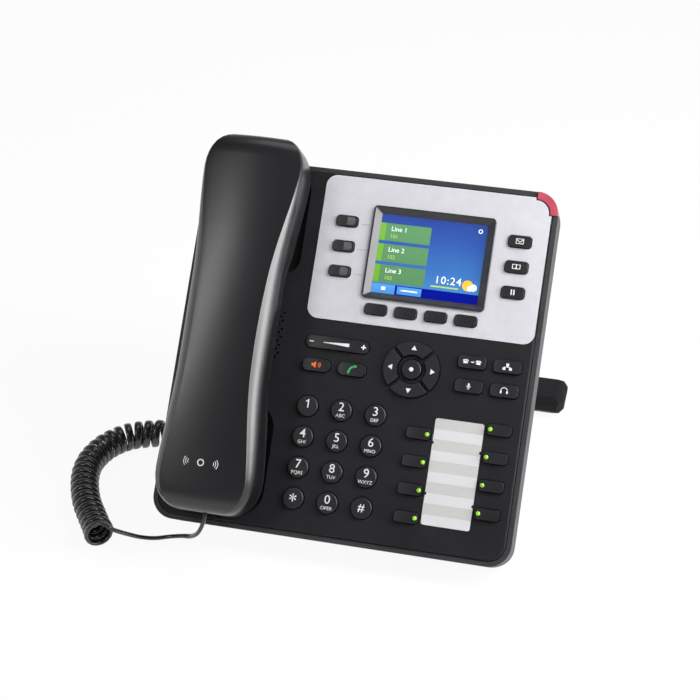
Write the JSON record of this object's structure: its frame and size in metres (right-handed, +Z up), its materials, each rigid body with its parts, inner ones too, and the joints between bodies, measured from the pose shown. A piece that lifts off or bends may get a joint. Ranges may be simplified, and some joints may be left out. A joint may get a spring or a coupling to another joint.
{
  "type": "desk ip phone",
  "caption": "Desk telephone on a tilt stand with a lift-off handset, curly cord, colour display, dial pad, round navigation pad and rows of sprung keys.",
  "frame": {"origin": "on the desk, at the centre of the footprint of the phone and its stand, without the cord", "axes": "+X to the user's right along the casing's width, +Y away from the user, +Z up from the desk"},
  "size_m": [0.262, 0.2005, 0.1854],
  "materials": {
    "front_casing": "fine grain",
    "rear_casing": "fine grain",
    "silver_panel": "satin silver",
    "display": "glossy",
    "circuit_board": "solder mask",
    "lamp_lens": "translucent red",
    "card": "matt paper",
    "speaker_basket": "plated",
    "rubber": "matt",
    "screw_steel": "zinc plated",
    "stand": "fine grain",
    "hook": "smooth",
    "handset_shell": "satin",
    "handset_under": "satin",
    "capsule": "plain",
    "cord": "smooth",
    "keys": "soft touch"
  },
  "bodies": {
    "base": {"top_housing": "front_casing", "bottom_housing": "rear_casing", "display_panel": "silver_panel", "lcd_module": "display", "main_board": "circuit_board", "message_lamp": "lamp_lens", "label_card": "card", "loudspeaker": "speaker_basket", "rubber_feet": "rubber", "housing_screws": "screw_steel", "desk_stand": "stand", "cord_lead": "cord", "cord_coil": "cord", "cord_tail": "cord"},
    "handset": {"handset_top_shell": "handset_shell", "handset_bottom_shell": "handset_under", "handset_capsules": "capsule"},
    "hook_switch": {"hook_switch": "hook"},
    "line_key_1": {"line_key_1": "keys"},
    "line_key_2": {"line_key_2": "keys"},
    "line_key_3": {"line_key_3": "keys"},
    "message_key": {"message_key": "keys"},
    "phonebook_key": {"phonebook_key": "keys"},
    "hold_key": {"hold_key": "keys"},
    "soft_key_1": {"soft_key_1": "keys"},
    "soft_key_2": {"soft_key_2": "keys"},
    "soft_key_3": {"soft_key_3": "keys"},
    "soft_key_4": {"soft_key_4": "keys"},
    "nav_up": {"nav_up": "keys"},
    "nav_left": {"nav_left": "keys"},
    "nav_down": {"nav_down": "keys"},
    "nav_right": {"nav_right": "keys"},
    "nav_ok": {"nav_ok": "keys"},
    "volume_rocker": {"volume_rocker": "keys"},
    "speaker_key": {"speaker_key": "keys"},
    "send_key": {"send_key": "keys"},
    "transfer_key": {"transfer_key": "keys"},
    "conference_key": {"conference_key": "keys"},
    "mute_key": {"mute_key": "keys"},
    "headset_key": {"headset_key": "keys"},
    "dial_key_1": {"dial_key_1": "keys"},
    "dial_key_2": {"dial_key_2": "keys"},
    "dial_key_3": {"dial_key_3": "keys"},
    "dial_key_4": {"dial_key_4": "keys"},
    "dial_key_5": {"dial_key_5": "keys"},
    "dial_key_6": {"dial_key_6": "keys"},
    "dial_key_7": {"dial_key_7": "keys"},
    "dial_key_8": {"dial_key_8": "keys"},
    "dial_key_9": {"dial_key_9": "keys"},
    "dial_key_star": {"dial_key_star": "keys"},
    "dial_key_0": {"dial_key_0": "keys"},
    "dial_key_pound": {"dial_key_pound": "keys"},
    "blf_key_1": {"blf_key_1": "keys"},
    "blf_key_2": {"blf_key_2": "keys"},
    "blf_key_3": {"blf_key_3": "keys"},
    "blf_key_4": {"blf_key_4": "keys"},
    "blf_key_5": {"blf_key_5": "keys"},
    "blf_key_6": {"blf_key_6": "keys"},
    "blf_key_7": {"blf_key_7": "keys"},
    "blf_key_8": {"blf_key_8": "keys"}
  },
  "joints": [
    {"name": "handset_lift", "type": "slide", "parent": "base", "child": "handset", "axis": [0, -0.7314, 0.682], "range_m": [0, 0.08]},
    {"name": "hook_travel", "type": "slide", "parent": "base", "child": "hook_switch", "axis": [0, -0.7314, 0.682], "range_m": [0, 0.004]},
    {"name": "line_key_1_press", "type": "slide", "parent": "base", "child": "line_key_1", "axis": [0, 0.7314, -0.682], "range_m": [0, 0.001], "stiffness_N_per_m": 300, "springref_m": -0.002},
    {"name": "line_key_2_press", "type": "slide", "parent": "base", "child": "line_key_2", "axis": [0, 0.7314, -0.682], "range_m": [0, 0.001], "stiffness_N_per_m": 300, "springref_m": -0.002},
    {"name": "line_key_3_press", "type": "slide", "parent": "base", "child": "line_key_3", "axis": [0, 0.7314, -0.682], "range_m": [0, 0.001], "stiffness_N_per_m": 300, "springref_m": -0.002},
    {"name": "message_key_press", "type": "slide", "parent": "base", "child": "message_key", "axis": [0, 0.7314, -0.682], "range_m": [0, 0.001], "stiffness_N_per_m": 300, "springref_m": -0.002},
    {"name": "phonebook_key_press", "type": "slide", "parent": "base", "child": "phonebook_key", "axis": [0, 0.7314, -0.682], "range_m": [0, 0.001], "stiffness_N_per_m": 300, "springref_m": -0.002},
    {"name": "hold_key_press", "type": "slide", "parent": "base", "child": "hold_key", "axis": [0, 0.7314, -0.682], "range_m": [0, 0.001], "stiffness_N_per_m": 300, "springref_m": -0.002},
    {"name": "soft_key_1_press", "type": "slide", "parent": "base", "child": "soft_key_1", "axis": [0, 0.7314, -0.682], "range_m": [0, 0.001], "stiffness_N_per_m": 300, "springref_m": -0.002},
    {"name": "soft_key_2_press", "type": "slide", "parent": "base", "child": "soft_key_2", "axis": [0, 0.7314, -0.682], "range_m": [0, 0.001], "stiffness_N_per_m": 300, "springref_m": -0.002},
    {"name": "soft_key_3_press", "type": "slide", "parent": "base", "child": "soft_key_3", "axis": [0, 0.7314, -0.682], "range_m": [0, 0.001], "stiffness_N_per_m": 300, "springref_m": -0.002},
    {"name": "soft_key_4_press", "type": "slide", "parent": "base", "child": "soft_key_4", "axis": [0, 0.7314, -0.682], "range_m": [0, 0.001], "stiffness_N_per_m": 300, "springref_m": -0.002},
    {"name": "nav_up_press", "type": "slide", "parent": "base", "child": "nav_up", "axis": [0, 0.7314, -0.682], "range_m": [0, 0.001], "stiffness_N_per_m": 300, "springref_m": -0.002},
    {"name": "nav_left_press", "type": "slide", "parent": "base", "child": "nav_left", "axis": [0, 0.7314, -0.682], "range_m": [0, 0.001], "stiffness_N_per_m": 300, "springref_m": -0.002},
    {"name": "nav_down_press", "type": "slide", "parent": "base", "child": "nav_down", "axis": [0, 0.7314, -0.682], "range_m": [0, 0.001], "stiffness_N_per_m": 300, "springref_m": -0.002},
    {"name": "nav_right_press", "type": "slide", "parent": "base", "child": "nav_right", "axis": [0, 0.7314, -0.682], "range_m": [0, 0.001], "stiffness_N_per_m": 300, "springref_m": -0.002},
    {"name": "nav_ok_press", "type": "slide", "parent": "base", "child": "nav_ok", "axis": [0, 0.7314, -0.682], "range_m": [0, 0.001], "stiffness_N_per_m": 300, "springref_m": -0.002},
    {"name": "volume_rocker_tilt", "type": "hinge", "parent": "base", "child": "volume_rocker", "pos_m": [-0.0096, -0.00821, 0.091], "axis": [0, 0.682, 0.7314], "range_deg": [-3, 3], "stiffness_Nm_per_rad": 0.05},
    {"name": "speaker_key_press", "type": "slide", "parent": "base", "child": "speaker_key", "axis": [0, 0.7314, -0.682], "range_m": [0, 0.001], "stiffness_N_per_m": 300, "springref_m": -0.002},
    {"name": "send_key_press", "type": "slide", "parent": "base", "child": "send_key", "axis": [0, 0.7314, -0.682], "range_m": [0, 0.001], "stiffness_N_per_m": 300, "springref_m": -0.002},
    {"name": "transfer_key_press", "type": "slide", "parent": "base", "child": "transfer_key", "axis": [0, 0.7314, -0.682], "range_m": [0, 0.001], "stiffness_N_per_m": 300, "springref_m": -0.002},
    {"name": "conference_key_press", "type": "slide", "parent": "base", "child": "conference_key", "axis": [0, 0.7314, -0.682], "range_m": [0, 0.001], "stiffness_N_per_m": 300, "springref_m": -0.002},
    {"name": "mute_key_press", "type": "slide", "parent": "base", "child": "mute_key", "axis": [0, 0.7314, -0.682], "range_m": [0, 0.001], "stiffness_N_per_m": 300, "springref_m": -0.002},
    {"name": "headset_key_press", "type": "slide", "parent": "base", "child": "headset_key", "axis": [0, 0.7314, -0.682], "range_m": [0, 0.001], "stiffness_N_per_m": 300, "springref_m": -0.002},
    {"name": "dial_key_1_press", "type": "slide", "parent": "base", "child": "dial_key_1", "axis": [0, 0.7314, -0.682], "range_m": [0, 0.001], "stiffness_N_per_m": 300, "springref_m": -0.002},
    {"name": "dial_key_2_press", "type": "slide", "parent": "base", "child": "dial_key_2", "axis": [0, 0.7314, -0.682], "range_m": [0, 0.001], "stiffness_N_per_m": 300, "springref_m": -0.002},
    {"name": "dial_key_3_press", "type": "slide", "parent": "base", "child": "dial_key_3", "axis": [0, 0.7314, -0.682], "range_m": [0, 0.001], "stiffness_N_per_m": 300, "springref_m": -0.002},
    {"name": "dial_key_4_press", "type": "slide", "parent": "base", "child": "dial_key_4", "axis": [0, 0.7314, -0.682], "range_m": [0, 0.001], "stiffness_N_per_m": 300, "springref_m": -0.002},
    {"name": "dial_key_5_press", "type": "slide", "parent": "base", "child": "dial_key_5", "axis": [0, 0.7314, -0.682], "range_m": [0, 0.001], "stiffness_N_per_m": 300, "springref_m": -0.002},
    {"name": "dial_key_6_press", "type": "slide", "parent": "base", "child": "dial_key_6", "axis": [0, 0.7314, -0.682], "range_m": [0, 0.001], "stiffness_N_per_m": 300, "springref_m": -0.002},
    {"name": "dial_key_7_press", "type": "slide", "parent": "base", "child": "dial_key_7", "axis": [0, 0.7314, -0.682], "range_m": [0, 0.001], "stiffness_N_per_m": 300, "springref_m": -0.002},
    {"name": "dial_key_8_press", "type": "slide", "parent": "base", "child": "dial_key_8", "axis": [0, 0.7314, -0.682], "range_m": [0, 0.001], "stiffness_N_per_m": 300, "springref_m": -0.002},
    {"name": "dial_key_9_press", "type": "slide", "parent": "base", "child": "dial_key_9", "axis": [0, 0.7314, -0.682], "range_m": [0, 0.001], "stiffness_N_per_m": 300, "springref_m": -0.002},
    {"name": "dial_key_star_press", "type": "slide", "parent": "base", "child": "dial_key_star", "axis": [0, 0.7314, -0.682], "range_m": [0, 0.001], "stiffness_N_per_m": 300, "springref_m": -0.002},
    {"name": "dial_key_0_press", "type": "slide", "parent": "base", "child": "dial_key_0", "axis": [0, 0.7314, -0.682], "range_m": [0, 0.001], "stiffness_N_per_m": 300, "springref_m": -0.002},
    {"name": "dial_key_pound_press", "type": "slide", "parent": "base", "child": "dial_key_pound", "axis": [0, 0.7314, -0.682], "range_m": [0, 0.001], "stiffness_N_per_m": 300, "springref_m": -0.002},
    {"name": "blf_key_1_press", "type": "slide", "parent": "base", "child": "blf_key_1", "axis": [0, 0.7314, -0.682], "range_m": [0, 0.001], "stiffness_N_per_m": 300, "springref_m": -0.002},
    {"name": "blf_key_2_press", "type": "slide", "parent": "base", "child": "blf_key_2", "axis": [0, 0.7314, -0.682], "range_m": [0, 0.001], "stiffness_N_per_m": 300, "springref_m": -0.002},
    {"name": "blf_key_3_press", "type": "slide", "parent": "base", "child": "blf_key_3", "axis": [0, 0.7314, -0.682], "range_m": [0, 0.001], "stiffness_N_per_m": 300, "springref_m": -0.002},
    {"name": "blf_key_4_press", "type": "slide", "parent": "base", "child": "blf_key_4", "axis": [0, 0.7314, -0.682], "range_m": [0, 0.001], "stiffness_N_per_m": 300, "springref_m": -0.002},
    {"name": "blf_key_5_press", "type": "slide", "parent": "base", "child": "blf_key_5", "axis": [0, 0.7314, -0.682], "range_m": [0, 0.001], "stiffness_N_per_m": 300, "springref_m": -0.002},
    {"name": "blf_key_6_press", "type": "slide", "parent": "base", "child": "blf_key_6", "axis": [0, 0.7314, -0.682], "range_m": [0, 0.001], "stiffness_N_per_m": 300, "springref_m": -0.002},
    {"name": "blf_key_7_press", "type": "slide", "parent": "base", "child": "blf_key_7", "axis": [0, 0.7314, -0.682], "range_m": [0, 0.001], "stiffness_N_per_m": 300, "springref_m": -0.002},
    {"name": "blf_key_8_press", "type": "slide", "parent": "base", "child": "blf_key_8", "axis": [0, 0.7314, -0.682], "range_m": [0, 0.001], "stiffness_N_per_m": 300, "springref_m": -0.002}
  ],
  "couplings": [
    {"joint": "hook_travel", "follows": "handset_lift", "ratio": 0.05}
  ]
}
